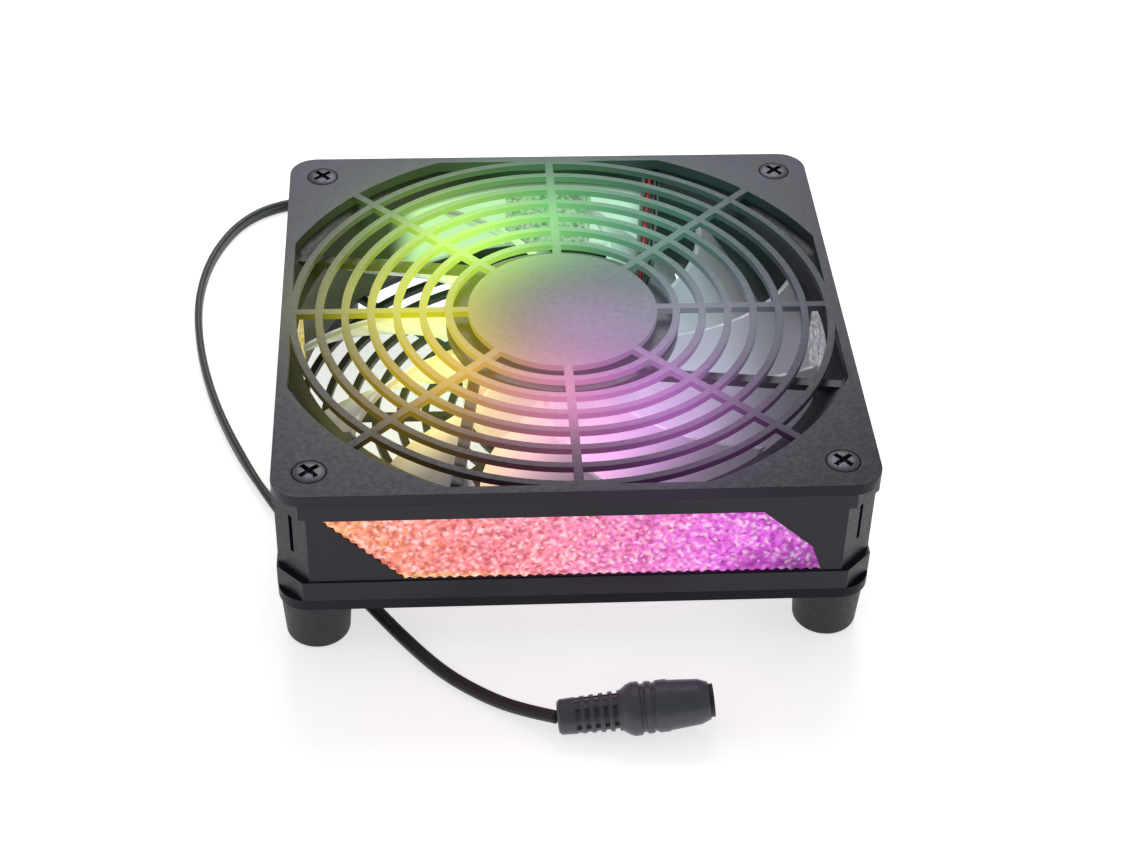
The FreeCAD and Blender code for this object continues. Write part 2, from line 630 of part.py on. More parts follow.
CORNERS = {"front_left": (-1, -1), "front_right": (1, -1), "back_right": (1, 1), "back_left": (-1, 1)}
for corner, (x, y) in CORNERS.items():
    foot = turned_part(f"foot_{corner}", [
        ("foot_recess", "0"), ("foot_low_radius", "0"), ("foot_top_radius", "foot_tall"),
        ("screw_hole", "foot_tall"), ("screw_hole", "washer_high"), ("foot_recess", "washer_high")])
    outer_rim = value("foot_low_radius") * 2
    fillet(foot, "0.9 * foot_round", lambda edge: abs(edge.BoundBox.XLength - outer_rim) < 0.1
           and edge.BoundBox.ZMax < 0.01)
    foot.Placement = Placement(Vector(x * value(HOLE), y * value(HOLE), 0), Rotation())


# ---------------------------------------------------------------- lead, wires and grommet

def bent_path(points, share=0.45):
    """Straight runs joined by tangent arcs, each as large as its two runs allow."""
    corners = [Vector(*point) for point in points]
    edges, radii = [], []
    start = corners[0]
    for before, corner, after in zip(corners, corners[1:], corners[2:]):
        arriving, leaving = corner - before, after - corner
        trim = share * min(arriving.Length, leaving.Length)
        half_turn = arriving.getAngle(leaving) / 2
        radii.append(trim / math.tan(half_turn))
        arriving.normalize()
        leaving.normalize()
        enter, leave = corner - arriving * trim, corner + leaving * trim
        inward = leaving - arriving
        inward.normalize()
        middle = corner + inward * (radii[-1] / math.cos(half_turn) - radii[-1])
        edges.append(Part.LineSegment(start, enter).toShape())
        edges.append(Part.Arc(enter, middle, leave).toShape())
        start = leave
    edges.append(Part.LineSegment(start, corners[-1]).toShape())
    return Part.Wire(edges), radii


def round_tube(points, radius):
    path, radii = bent_path(points)
    direction = Vector(*points[1]) - Vector(*points[0])
    section = Part.Wire(Part.makeCircle(radius, Vector(*points[0]), direction))
    solid = path.makePipeShell([section], True, True)
    wanted = math.pi * radius ** 2 * path.Length
    if abs(solid.Volume / wanted - 1) > 0.01:
        raise RuntimeError(f"tube volume {solid.Volume:.1f}, section times length {wanted:.1f}")
    return solid, path.Length, radii


solid, long, radii = round_tube(CORD_POINTS, value("cord_radius"))
shape_part("power_cord", solid)
print(f"power_cord length {long:.1f} mm, radii", [round(radius, 1) for radius in radii])

wire_level = value(f"{BASE_HIGH} - channel_depth + wire_radius")
grommet_start = value("fan_side / 2 - grommet_long")
wire_end_x = value("strut_end_x")
for label, side in (("red_wire", -1), ("black_wire", 1)):
    shift = side * value("wire_side")
    start_x, start_y = value("wire_hole_x"), value("wire_hole_y")
    start = (start_x + shift, start_y, value("driver_high"))
    above = (start_x + shift, start_y, wire_level)
    strut_start = (value("strut_start_x") + shift, value("strut_start_y"), wire_level)
    end = (wire_end_x + shift, grommet_start, wire_level)
    solid, long, radii = round_tube([start, above, strut_start, end], value("wire_radius"))
    shape_part(label, solid)
    print(f"{label} length {long:.1f} mm, radii", [round(radius, 1) for radius in radii])

grommet = new_body("cable_grommet")
outline = new_sketch(grommet, f"{BASE_HIGH} - channel_depth")
rectangle(outline, "strut_end_x - channel_half", "fan_side / 2 - grommet_long",
          "strut_end_x + channel_half", "fan_side / 2")
pad(grommet, outline, "base_drop + channel_depth")
parts["cable_grommet"] = grommet


# ---------------------------------------------------------------- socket on the lead

# The socket rests on its tail and its collar, so its axis leans up by this much.
lean = math.asin(value("(collar_radius - tail_radius) / (collar_at - collar_half)"))
turn = math.radians(value("socket_turn"))
socket_axis = Vector(math.cos(lean) * math.cos(turn), math.cos(lean) * math.sin(turn), math.sin(lean))
socket_placement = Placement(Vector(*CORD_POINTS[-1]), Rotation(Vector(0, 0, 1), socket_axis)
                             * Rotation(Vector(0, 0, 1), value("socket_roll")))

jack_body = turned_part("socket_body", [
    ("0", "0"), ("tail_radius - tail_round", "0"), ("tail_radius", "tail_round"),
    ("relief_radius", "relief_long"),
    ("0.5 * (relief_radius + collar_radius) + 0.25", "0.5 * (relief_long + collar_at) - 0.2"),
    ("collar_radius", "collar_at - collar_half"), ("collar_radius", "collar_at + collar_half"),
    ("barrel_radius - 0.2", "collar_at + 1.1"), ("barrel_radius - 0.2", "collar_at + 1.6"),
    ("collar_radius - 0.15", "collar_at + 2"), ("collar_radius - 0.15", "collar_at + 3"),
    ("barrel_radius - 0.2", "collar_at + 3.4"), ("barrel_radius - 0.2", "collar_at + 3.7"),
    ("collar_radius - 0.15", "collar_at + 4.2"),
    ("collar_radius - 0.15", "collar_at + 6.1"), ("barrel_radius", "collar_at + 6.5"),
    ("mouth_radius", "mouth_at"), ("nose_radius", "nose_at"), ("insert_radius", "nose_at"),
    ("insert_radius", "cavity_at"), ("0", "cavity_at")])
for index in range(5):
    ring = new_sketch(jack_body, plane="XZ_Plane")
    slot_at = f"(slot_first + {index} * slot_pitch)"
    rectangle(ring, "slot_core", f"{slot_at} - slot_width / 2",
              "relief_radius + 1", f"{slot_at} + slot_width / 2")
    turned(jack_body, ring, cut=True)
spine = new_sketch(jack_body, "slot_first - slot_width")
rectangle(spine, "slot_core - 0.2", "-spine_half", "tail_radius + 0.12", "spine_half")
repeat(jack_body, [pad(jack_body, spine, "4 * slot_pitch + 2 * slot_width")])

tube("socket_insulator", "contact_radius", "insert_radius", "cavity_at", "socket_long")
tube("socket_contact", "contact_radius - contact_wall", "contact_radius", "cavity_at", "socket_long - 0.6")
pin = turned_part("socket_pin", [("0", "cavity_at"), ("pin_radius", "cavity_at"),
                                 ("pin_radius", "socket_long - 2"),
                                 ("0.5 * pin_radius", "socket_long - 1.4"),
                                 ("0", "socket_long - 1.4")])
for label in ("socket_body", "socket_insulator", "socket_contact", "socket_pin"):
    parts[label].Placement = socket_placement


# ---------------------------------------------------------------- checks and export

doc.recompute()
for item in doc.Objects:
    if {"Invalid", "Error"} & set(item.State):
        raise RuntimeError(f"{item.Label} is {item.State}")
for label, item in parts.items():
    if item.Shape.isNull() or not item.Shape.isValid() or not item.Shape.Solids:
        raise RuntimeError(f"{label} has no valid solid")
os.makedirs("parts", exist_ok=True)
for label, item in parts.items():
    item.Shape.exportStep(f"parts/{label}.step")
print(len(parts), "sub-parts written")
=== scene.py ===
"""Looks of the 120 mm case fan: materials, crystal light panels, twin lead and studio."""
import json
import math
import random

import bpy
from mathutils import Matrix, Vector
from mathutils.geometry import delaunay_2d_cdt


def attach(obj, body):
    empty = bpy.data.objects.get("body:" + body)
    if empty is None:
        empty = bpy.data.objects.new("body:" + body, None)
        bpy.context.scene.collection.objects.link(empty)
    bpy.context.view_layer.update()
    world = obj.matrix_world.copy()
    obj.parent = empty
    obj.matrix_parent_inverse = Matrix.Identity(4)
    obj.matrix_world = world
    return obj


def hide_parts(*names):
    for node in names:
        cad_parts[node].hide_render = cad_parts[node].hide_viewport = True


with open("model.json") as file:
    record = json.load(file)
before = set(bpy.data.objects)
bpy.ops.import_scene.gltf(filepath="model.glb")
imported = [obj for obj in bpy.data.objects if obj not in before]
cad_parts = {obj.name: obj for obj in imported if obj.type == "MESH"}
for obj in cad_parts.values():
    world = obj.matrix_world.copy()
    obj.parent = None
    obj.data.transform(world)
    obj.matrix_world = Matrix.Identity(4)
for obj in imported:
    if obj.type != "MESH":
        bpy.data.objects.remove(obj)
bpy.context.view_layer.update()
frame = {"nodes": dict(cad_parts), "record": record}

MM = 0.001
nodes = frame["nodes"]


# ---------------------------------------------------------------- node helpers

class Nodes:
    """A node tree, with short calls for the nodes that this script uses."""

    def __init__(self, tree):
        self.tree = tree

    def add(self, kind, **settings):
        item = self.tree.nodes.new(kind)
        for key, setting in settings.items():
            setattr(item, key, setting)
        return item

    def feed(self, socket, source):
        """Links a socket to another node's output, or sets it to a plain value."""
        if isinstance(source, bpy.types.NodeSocket):
            self.tree.links.new(source, socket)
        else:
            socket.default_value = source

    def math(self, operation, first, second=0.0):
        item = self.add("ShaderNodeMath", operation=operation)
        self.feed(item.inputs[0], first)
        self.feed(item.inputs[1], second)
        return item.outputs[0]

    def product(self, first, *others):
        for other in others:
            first = self.math("MULTIPLY", first, other)
        return first

    def vector(self, operation, first, second=(0, 0, 0), scale=None, output="Vector"):
        item = self.add("ShaderNodeVectorMath", operation=operation)
        self.feed(item.inputs[0], first)
        self.feed(item.inputs[1], second)
        if scale is not None:
            self.feed(item.inputs["Scale"], scale)
        return item.outputs[output]

    def range(self, source, low, high, to_low=0.0, to_high=1.0, smooth=False):
        """The source between low and high, carried over to to_low and to_high and held there."""
        item = self.add("ShaderNodeMapRange", interpolation_type="SMOOTHSTEP" if smooth else "LINEAR")
        item.inputs["From Min"].default_value = low
        item.inputs["From Max"].default_value = high
        item.inputs["To Min"].default_value = to_low
        item.inputs["To Max"].default_value = to_high
        self.feed(item.inputs["Value"], source)
        return item.outputs["Result"]

    def ramp(self, source, stops):
        """A colour ramp through (position, colour) stops."""
        item = self.add("ShaderNodeValToRGB")
        elements = item.color_ramp.elements
        while len(elements) < len(stops):
            elements.new(0.5)
        for element, (position, colour) in zip(elements, stops):
            element.position = position
            element.color = (*colour, 1)
        self.feed(item.inputs["Fac"], source)
        return item.outputs["Color"]

    def mix(self, share, first, second):
        item = self.add("ShaderNodeMix", data_type="RGBA")
        self.feed(item.inputs["Factor"], share)
        for key, source in (("A", first), ("B", second)):
            socket = next(s for s in item.inputs if s.name == key and s.type == "RGBA")
            self.feed(socket, (*source, 1) if isinstance(source, tuple) else source)
        return next(s for s in item.outputs if s.type == "RGBA")

    def xyz(self, source):
        item = self.add("ShaderNodeSeparateXYZ")
        self.feed(item.inputs[0], source)
        return item.outputs


class Shader(Nodes):
    """A new material with one principled surface, textured by the place on the object."""

    def __init__(self, name):
        self.material = bpy.data.materials.new(name)
        self.material.use_nodes = True
        super().__init__(self.material.node_tree)
        self.surface = self.tree.nodes["Principled BSDF"]
        self.place = self.add("ShaderNodeTexCoord").outputs["Object"]

    def set(self, **inputs):
        for key, source in inputs.items():
            self.feed(self.surface.inputs[key.replace("_", " ")], source)

    def noise(self, scale, detail=2.0, roughness=0.5):
        item = self.add("ShaderNodeTexNoise")
        self.feed(item.inputs["Vector"], self.place)
        item.inputs["Scale"].default_value = scale
        item.inputs["Detail"].default_value = detail
        item.inputs["Roughness"].default_value = roughness
        return item.outputs["Fac"]

    def away(self):
        """Distance from the fan's axis."""
        return self.vector("LENGTH", self.vector("MULTIPLY", self.place, (1, 1, 0)), output="Value")

    def bump(self, height, strength, distance):
        item = self.add("ShaderNodeBump")
        self.feed(item.inputs["Height"], height)
        item.inputs["Strength"].default_value = strength
        item.inputs["Distance"].default_value = distance
        self.set(Normal=item.outputs["Normal"])


# ---------------------------------------------------------------- painted light of the light ring

# Spots of painted light from the light ring's lamps: place in millimetres from the axis, reach in
# millimetres, and colour.
PAINTED_GLOW_SPOTS = [
    ((-33, 3), 17, (0.52, 0.52, 0.00)), ((-21, 27), 17, (0.46, 0.82, 0.07)),
    ((-2, 36), 18, (0.09, 0.38, 0.10)), ((20, 30), 20, (0.05, 0.14, 0.11)),
    ((29, -5), 18, (0.13, 0.15, 0.18)), ((17, -31), 16, (0.36, 0.11, 0.42)),
    ((-4, -30), 14, (0.50, 0.15, 0.28)), ((-25, -21), 16, (0.56, 0.36, 0.00)),
    ((3, -6), 15, (0.20, 0.12, 0.22)),
]


def painted_glow(shader, strength=1.0, haze=(0.0, 0.0, 0.0)):
    """Painted light that a part takes from the ring's lamps at each point, over an even painted haze of
    its own.
    """
    flat = shader.vector("MULTIPLY", shader.place, (1, 1, 0))
    light = shader.vector("ADD", haze, (0, 0, 0))
    for (x, y), reach, colour in PAINTED_GLOW_SPOTS:
        away = shader.vector("DISTANCE", flat, (x * MM, y * MM, 0), output="Value")
        nearness = shader.math("DIVIDE", away, reach * MM)
        falloff = shader.math("EXPONENT", shader.product(nearness, nearness, -1.0))
        scaled = shader.vector("SCALE", tuple(strength * c for c in colour), scale=falloff)
        light = shader.vector("ADD", light, scaled)
    return light


# ---------------------------------------------------------------- materials

def grained_plastic(name, roughness, grain=0.05):
    """Satin moulded plastic with fine spark-eroded grain, whose colour is still to be set."""
    shader = Shader(name)
    gloss = shader.range(shader.noise(900), 0.3, 0.7, roughness - 0.06, roughness + 0.06)
    shader.set(Roughness=gloss)
    shader.bump(shader.noise(3200, 2, 0.6), grain * 4, 0.00008)
    return shader


def moulded_plastic(name, colour, roughness, grain=0.05):
    """Grained plastic in one colour that drifts slightly."""
    shader = grained_plastic(name, roughness, grain)
    pale, deep = tuple(1.15 * c for c in colour), tuple(0.85 * c for c in colour)
    shader.set(Base_Color=shader.mix(shader.noise(60, 3), deep, pale))
    return shader


def guard_material():
    """Dark moulding with painted light from the ring's lamps; a painted sheen pales it toward the back
    left of the plate, and painted shade darkens it toward the bottom guard.
    """
    shader = grained_plastic("guard_plastic", 0.40)
    x, y, z = shader.xyz(shader.place)
    # Painted sheen: base colour and specular level rise toward the back left; painted shade lowers them
    # toward the bottom guard.
    slant = shader.math("SUBTRACT", y, shader.product(x, 0.3))
    painted_sheen_toward_back = shader.range(slant, -74 * MM, 74 * MM, 0.50, 1.40)
    pale = shader.product(painted_sheen_toward_back, shader.range(z, 8 * MM, 36 * MM, 0.55, 1.0))
    shader.set(Base_Color=shader.vector("SCALE", (0.031, 0.032, 0.051), scale=pale))
    shader.set(Specular_IOR_Level=shader.product(pale, 0.37), Specular_Tint=(0.90, 0.92, 1.0, 1))
    # Painted light from the ring's lamps, strong on the top guard and faint below it.
    painted_glow_by_height = shader.range(z, 30 * MM, 40 * MM, 0.06, 1.0, smooth=True)
    shader.set(Emission_Color=painted_glow(shader), Emission_Strength=painted_glow_by_height)
    return shader.material


def frame_material():
    """Black moulding with painted light from the ring's lamps; a pale green pool of painted light from
    the light boards lies on the back of the duct wall.
    """
    shader = moulded_plastic("frame_plastic", (0.010, 0.009, 0.018), 0.40)
    x, y, z = shader.xyz(shader.place)
    # Painted light: a pale green pool on the back of the duct wall, between the flanges and inside the
    # bore.
    aside = shader.math("ABSOLUTE", shader.math("ADD", x, 6 * MM))
    painted_wash = shader.product(
        shader.range(aside, 24 * MM, 32 * MM, 1.0, 0.0, smooth=True),
        shader.range(y, 36 * MM, 44 * MM, smooth=True),
        shader.range(z, 18.5 * MM, 20.5 * MM),
        shader.range(z, 35 * MM, 36.5 * MM, 1.0, 0.0),
        shader.range(shader.away(), 57.5 * MM, 58 * MM, 1.0, 0.0),
    )
    painted_wash_tint = shader.mix(shader.range(x, -30 * MM, 20 * MM), (0.52, 0.88, 0.38), (0.50, 0.80, 0.62))
    # Painted light from the ring's lamps at 0.35 of full strength, plus the painted pool.
    light = shader.vector("ADD", painted_glow(shader, 0.35), shader.vector("SCALE", painted_wash_tint, scale=painted_wash))
    shader.set(Emission_Color=light, Emission_Strength=1.0, Specular_IOR_Level=0.35)
    return shader.material


def impeller_material():
    """Milky plastic; painted light from the ring's lamps shines in its blades over an even painted
    haze, fading away from the hub.
    """
    shader = Shader("milky_plastic")
    cloud = shader.noise(140, 3)
    base = shader.mix(cloud, (0.58, 0.59, 0.62), (0.74, 0.75, 0.79))
    # Painted light in the blades: full within 34 mm of the axis, down to a fifth by 52 mm.
    painted_glow_by_radius = shader.range(shader.away(), 34 * MM, 52 * MM, 1.0, 0.2, smooth=True)
    shader.set(Base_Color=base, Roughness=0.25, Transmission_Weight=0.15, IOR=1.5,
               Emission_Color=painted_glow(shader, 0.8, (0.10, 0.105, 0.12)), Emission_Strength=painted_glow_by_radius)
    shader.bump(shader.noise(500), 0.15, 0.0001)
    return shader.material


def crystal_material(name, hues, strength):
    """A lit crystal-cut lens: its hue runs along the panel, and each facet has its own brightness."""
    shader = Shader(name)
    uv = shader.add("ShaderNodeUVMap", uv_map="panel").outputs["UV"]
    along, up = shader.xyz(uv)[:2]
    facet = shader.add("ShaderNodeVertexColor", layer_name="facet").outputs["Color"]
    level, white, drift = shader.xyz(facet)
    broad = shader.range(shader.noise(160, 3), 0.0, 1.0, -0.06, 0.06)
    wander = shader.math("ADD", broad, shader.range(drift, 0.0, 1.0, -0.08, 0.08))
    low_edge = shader.range(up, 0.02, 0.16, 0.3, 0.0, smooth=True)
    warm_foot = shader.product(low_edge, shader.range(along, 0.30, 0.48, 1.0, 0.0))
    place = shader.math("SUBTRACT", shader.math("ADD", along, wander), warm_foot)
    hue = shader.ramp(place, hues)
    patches = shader.range(shader.noise(400, 2), 0.35, 0.65, 0.35, 1.0)
    corner = shader.product(shader.range(along, 0.78, 0.86), patches)
    dim_corner = shader.product(shader.range(up, 0.12, 0.42, 0.75, 0.0), corner)
    kept = shader.math("SUBTRACT", 1.0, dim_corner)
    level = shader.product(level, kept)
    white = shader.product(white, kept)
    deep = shader.add("ShaderNodeGamma")
    shader.feed(deep.inputs["Color"], hue)
    shader.feed(deep.inputs["Gamma"], shader.range(level, 0.2, 1.0, 1.9, 1.0))
    level = shader.range(level, 0.2, 1.1, 0.45, 1.12)
    lit = shader.mix(white, shader.vector("SCALE", deep.outputs[0], scale=level), (1.0, 0.86, 0.88))
    shader.set(Base_Color=shader.vector("SCALE", hue, scale=0.20), Roughness=0.25,
               Emission_Color=lit, Emission_Strength=strength, Specular_IOR_Level=0.25)
    return shader.material


def socket_material():
    shader = moulded_plastic("socket_plastic", (0.080, 0.087, 0.110), 0.36, grain=0.06)
    shader.set(Specular_IOR_Level=0.4)
    return shader.material


def metal_material(name, colour, roughness, brushed=0.0):
    shader = Shader(name)
    scratch = shader.noise(2500, 2, 0.7)
    low, high = max(0.02, roughness - 0.08), roughness + 0.1
    shader.set(Base_Color=shader.mix(shader.noise(200, 3), tuple(0.85 * c for c in colour), colour),
               Metallic=1.0, Roughness=shader.range(scratch, 0.3, 0.7, low, high))
    if brushed:
        shader.bump(scratch, brushed, 0.00005)
    return shader.material


def plain_material(name, colour, roughness, grain=0.04):
    return moulded_plastic(name, colour, roughness, grain).material


WIRE_PITCH = 0.32


def copper_material():
    """Enamelled copper wire laid in fine turns across each coil."""
    shader = Shader("copper_wire")
    up = shader.xyz(shader.place)[2]
    turns = shader.math("SINE", shader.product(up, 2 * math.pi / (WIRE_PITCH * MM)))
    shader.set(Base_Color=shader.mix(shader.noise(400, 3), (0.55, 0.22, 0.09), (0.78, 0.36, 0.16)),
               Metallic=1.0, Roughness=0.3)
    shader.bump(turns, 0.5, 0.0001)
    return shader.material


def board_material():
    """Solder-masked laminate with faint tracks."""
    shader = Shader("circuit_board")
    tracks = shader.range(shader.noise(500, 0), 0.5, 0.54)
    shader.set(Base_Color=shader.mix(tracks, (0.01, 0.035, 0.02), (0.02, 0.07, 0.035)), Roughness=0.3)
    shader.bump(tracks, 0.3, 0.00005)
    return shader.material


def chip_material():
    shader = Shader("light_chips")
    shader.set(Base_Color=shader.mix(shader.noise(900), (0.9, 0.8, 0.35), (0.95, 0.93, 0.8)),
               Roughness=0.2, Emission_Color=(1.0, 0.95, 0.85, 1), Emission_Strength=0.8)
    return shader.material


MATERIALS = {
    "guard_plastic": guard_material(),
    "frame_plastic": frame_material(),
    "milky_plastic": impeller_material(),
    "foot_rubber": plain_material("foot_rubber", (0.011, 0.011, 0.018), 0.55, 0.12),
    "socket_plastic": socket_material(),
    "cord_sheath": plain_material("cord_sheath", (0.038, 0.044, 0.048), 0.42),
    "red_sheath": plain_material("red_sheath", (0.55, 0.015, 0.02), 0.4),
    "black_screw": metal_material("black_screw", (0.125, 0.125, 0.15), 0.5, 0.2),
    "motor_steel": metal_material("motor_steel", (0.42, 0.42, 0.45), 0.35, 0.2),
    "magnet": plain_material("magnet", (0.04, 0.04, 0.045), 0.6, 0.15),
    "sleeve_bronze": metal_material("sleeve_bronze", (0.50, 0.33, 0.15), 0.4, 0.2),
    "polished_steel": metal_material("polished_steel", (0.66, 0.66, 0.70), 0.2),
    "pale_plastic": plain_material("pale_plastic", (0.62, 0.60, 0.55), 0.5),
    "copper_wire": copper_material(),
    "chip_plastic": plain_material("chip_plastic", (0.015, 0.015, 0.018), 0.5, 0.1),
    "label_paper": plain_material("label_paper", (0.45, 0.45, 0.47), 0.35),
    "circuit_board": board_material(),
    "light_chips": chip_material(),
}

slot_of = {part["node"]: part["material_slot"] for part in frame["record"]["subparts"]}
for name, item in nodes.items():
    if slot_of[name] in MATERIALS:
        item.data.materials.clear()
        item.data.materials.append(MATERIALS[slot_of[name]])


# ---------------------------------------------------------------- softened edges of the CAD parts

SOFTENED_ANGLE = 35


def soften(name, width, segments=2):
    """Rounds a CAD part's hard edges with modifiers, which leave its mesh as it is."""
    item = nodes[name]
    weld = item.modifiers.new("weld", "WELD")
    weld.merge_threshold = 0.002 * MM
    bevel = item.modifiers.new("bevel", "BEVEL")
    bevel.width = width * MM
    bevel.segments = segments
    bevel.limit_method = "ANGLE"
    bevel.angle_limit = math.radians(SOFTENED_ANGLE)
    bevel.use_clamp_overlap = True
    bevel.harden_normals = True
    even = item.modifiers.new("even shading", "WEIGHTED_NORMAL")
    even.keep_sharp = True
    even.weight = 100
    item.data.shade_smooth()


EDGE_ROUNDS = {
    "top_guard": 0.55, "bottom_guard": 0.55, "fan_frame": 0.3, "guard_screws": 0.18,
    "socket_body": 0.15, "socket_insulator": 0.12, "impeller": 0.25,
}
for name, width in EDGE_ROUNDS.items():
    soften(name, width)
for name in nodes:
    if name.startswith("foot_") and slot_of[name] == "foot_rubber":
        soften(name, 0.4, 3)


# ---------------------------------------------------------------- crystal light panels

# The panel's outline seen from outside, in millimetres: distance along the side, then height.
PANEL_OUTLINE = [(-50.5, 35.3), (-34.4, 19.6), (49.1, 19.6), (46.9, 25.8), (36.4, 35.3)]
TOOTHED_EDGES = (0, 1)
TOOTH = 1.0
TOOTH_DEEP = 0.5
FACET = 0.62
SHAKE = 0.42
EDGE_GAP = 0.45 * FACET
FACE_OUT = 59.5
FACE_RISE = 0.38
BACK_AT = 55.9
BACK_RISE = 0.25
BORE = 57.0

PANEL_HUES = {
    "front": [(0.00, (0.88, 0.42, 0.14)), (0.10, (0.86, 0.27, 0.14)), (0.28, (0.88, 0.22, 0.23)),
              (0.48, (0.88, 0.24, 0.38)), (0.62, (0.82, 0.18, 0.52)), (0.74, (0.80, 0.15, 0.70)),
              (0.86, (0.70, 0.08, 0.70)), (1.00, (0.45, 0.03, 0.48))],
    "right": [(0.00, (0.42, 0.30, 0.48)), (0.50, (0.38, 0.38, 0.44)), (1.00, (0.30, 0.42, 0.42))],
    "back": [(0.00, (0.22, 0.48, 0.40)), (0.50, (0.28, 0.70, 0.30)), (1.00, (0.50, 0.75, 0.16))],
    "left": [(0.00, (0.55, 0.72, 0.14)), (0.50, (0.80, 0.65, 0.10)), (1.00, (0.88, 0.45, 0.10))],
}
PANEL_STRENGTH = {"front": 1.0, "right": 0.6, "back": 0.7, "left": 0.7}
WHITE_SHARE = 0.24
DARK_SHARE = 0.25
PANEL_TURNS = {"front": 0, "right": 90, "back": 180, "left": 270}


def panel_border():
    """Border points in order, with fine teeth along the toothed edges."""
    border = []
    for index, (start, end) in enumerate(zip(PANEL_OUTLINE, PANEL_OUTLINE[1:] + PANEL_OUTLINE[:1])):
        start, end = Vector(start), Vector(end)
        run = end - start
        inward = Vector((-run.y, run.x)).normalized()
        steps = max(2, 2 * round(run.length / TOOTH / 2))
        for k in range(steps):
            point = start + run * k / steps
            if index in TOOTHED_EDGES and k % 2:
                point += inward * TOOTH_DEEP
            border.append(point)
    return border


def panel_points(border, draw):
    """Scattered points inside the border, on a shaken grid."""
    low_x, high_x = min(p.x for p in border), max(p.x for p in border)
    low_y, high_y = min(p.y for p in border), max(p.y for p in border)
    inside = []
    y = low_y + FACET / 2
    while y < high_y:
        x = low_x
        while x < high_x:
            aside = draw.uniform(-SHAKE, SHAKE) * FACET
            above = draw.uniform(-SHAKE, SHAKE) * FACET
            point = Vector((x + aside, y + above))
            if all((point - edge).length > EDGE_GAP for edge in border) and within(point, border):
                inside.append(point)
            x += FACET
        y += FACET
    return inside


def within(point, border):
    """Whether a point is inside the closed border."""
    found = False
    for a, b in zip(border, border[1:] + border[:1]):
        if (a.y > point.y) != (b.y > point.y):
            crossing = a.x + (b.x - a.x) * (point.y - a.y) / (b.y - a.y)
            if point.x < crossing:
                found = not found
    return found


def crystal_panel(side):
    """A closed lens with a facetted face and back, which stands for the side's CAD panel."""
    draw = random.Random(side)
    border = panel_border()
    points = border + panel_points(border, draw)
    count = len(border)
    edges = [(i, (i + 1) % count) for i in range(count)]
    flat, _, triangles, _, _, _ = delaunay_2d_cdt(points, edges, [], 1, 1e-5)
    mesh = lens_mesh(f"crystal_panel_{side}", flat, triangles, draw)
    light_facets(mesh, draw)
    mesh.transform(Matrix.Rotation(math.radians(PANEL_TURNS[side]), 4, "Z"))
    mesh.materials.append(crystal_material(f"crystal_{side}", PANEL_HUES[side], PANEL_STRENGTH[side]))
    panel = bpy.data.objects.new(f"crystal_panel_{side}", mesh)
    bpy.context.scene.collection.objects.link(panel)
    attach(panel, "housing")
    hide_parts(f"light_panel_{side}")


def lens_mesh(name, flat, triangles, draw):
    """The face and the back over the same triangles, each point moved a little, and the rim."""
    rim = boundary_edges(triangles)
    on_rim = {a for a, _ in rim}
    vertices = []
    for index, point in enumerate(flat):
        rise = 0 if index in on_rim else draw.uniform(0.0, FACE_RISE)
        vertices.append(Vector((point.x, -(FACE_OUT + rise), point.y)) * MM)
    total = len(vertices)
    for index, point in enumerate(flat):
        back = math.sqrt(max(BORE ** 2 - point.x ** 2, BACK_AT ** 2))
        sink = 0 if index in on_rim else draw.uniform(0.0, BACK_RISE)
        vertices.append(Vector((point.x, -(back + sink), point.y)) * MM)
    faces = [tuple(t) for t in triangles]
    faces += [tuple(total + i for i in reversed(t)) for t in triangles]
    faces += [(a, total + a, total + b, b) for a, b in rim]
    mesh = bpy.data.meshes.new(name)
    mesh.from_pydata(vertices, [], faces)
    mesh.update()
    return mesh


def light_facets(mesh, draw):
    """Gives each corner its place on the panel and its own light."""
    mesh.uv_layers.new(name="panel")
    mesh.color_attributes.new("facet", "FLOAT_COLOR", "CORNER")
    uv, colour = mesh.uv_layers["panel"], mesh.color_attributes["facet"]
    low, high = PANEL_OUTLINE[0][0], PANEL_OUTLINE[2][0]
    base, top = PANEL_OUTLINE[1][1], PANEL_OUTLINE[0][1]
    sparks = [facet_light(draw) for _ in mesh.vertices]
    for face in mesh.polygons:
        gain = draw.uniform(0.85, 1.15)
        for loop in face.loop_indices:
            corner = mesh.loops[loop].vertex_index
            place = mesh.vertices[corner].co / MM
            level, white, drift = sparks[corner]
            uv.data[loop].uv = ((place.x - low) / (high - low), (place.z - base) / (top - base))
            colour.data[loop].color = (level * gain, white, drift, 1)


def facet_light(draw):
    """Brightness, whiteness and drift of hue at one point of the crystal."""
    kind = draw.random()
    level, white = draw.uniform(0.85, 1.05), draw.uniform(0.0, 0.15)
    if kind < WHITE_SHARE:
        white = draw.uniform(0.2, 0.75)
    elif kind > 1 - DARK_SHARE:
        level = draw.uniform(0.25, 0.70)
    return level, white, draw.random()


def boundary_edges(triangles):
    """Directed edges that belong to one triangle only."""
    used = {(a, b) for t in triangles for a, b in zip(t, t[1:] + t[:1])}
    return [(a, b) for a, b in used if (b, a) not in used]


for side in PANEL_TURNS:
    crystal_panel(side)


# ---------------------------------------------------------------- twin lead

CORD_WIDE = 3.0
CORD_THICK = 1.8
CORE_POINTS = 9
# Between these shares of its length the lead is turned up on its edge, each turn over this share.
ON_EDGE_FROM = 0.30
ON_EDGE_TO = 0.80
TURN_SHARE = 0.12
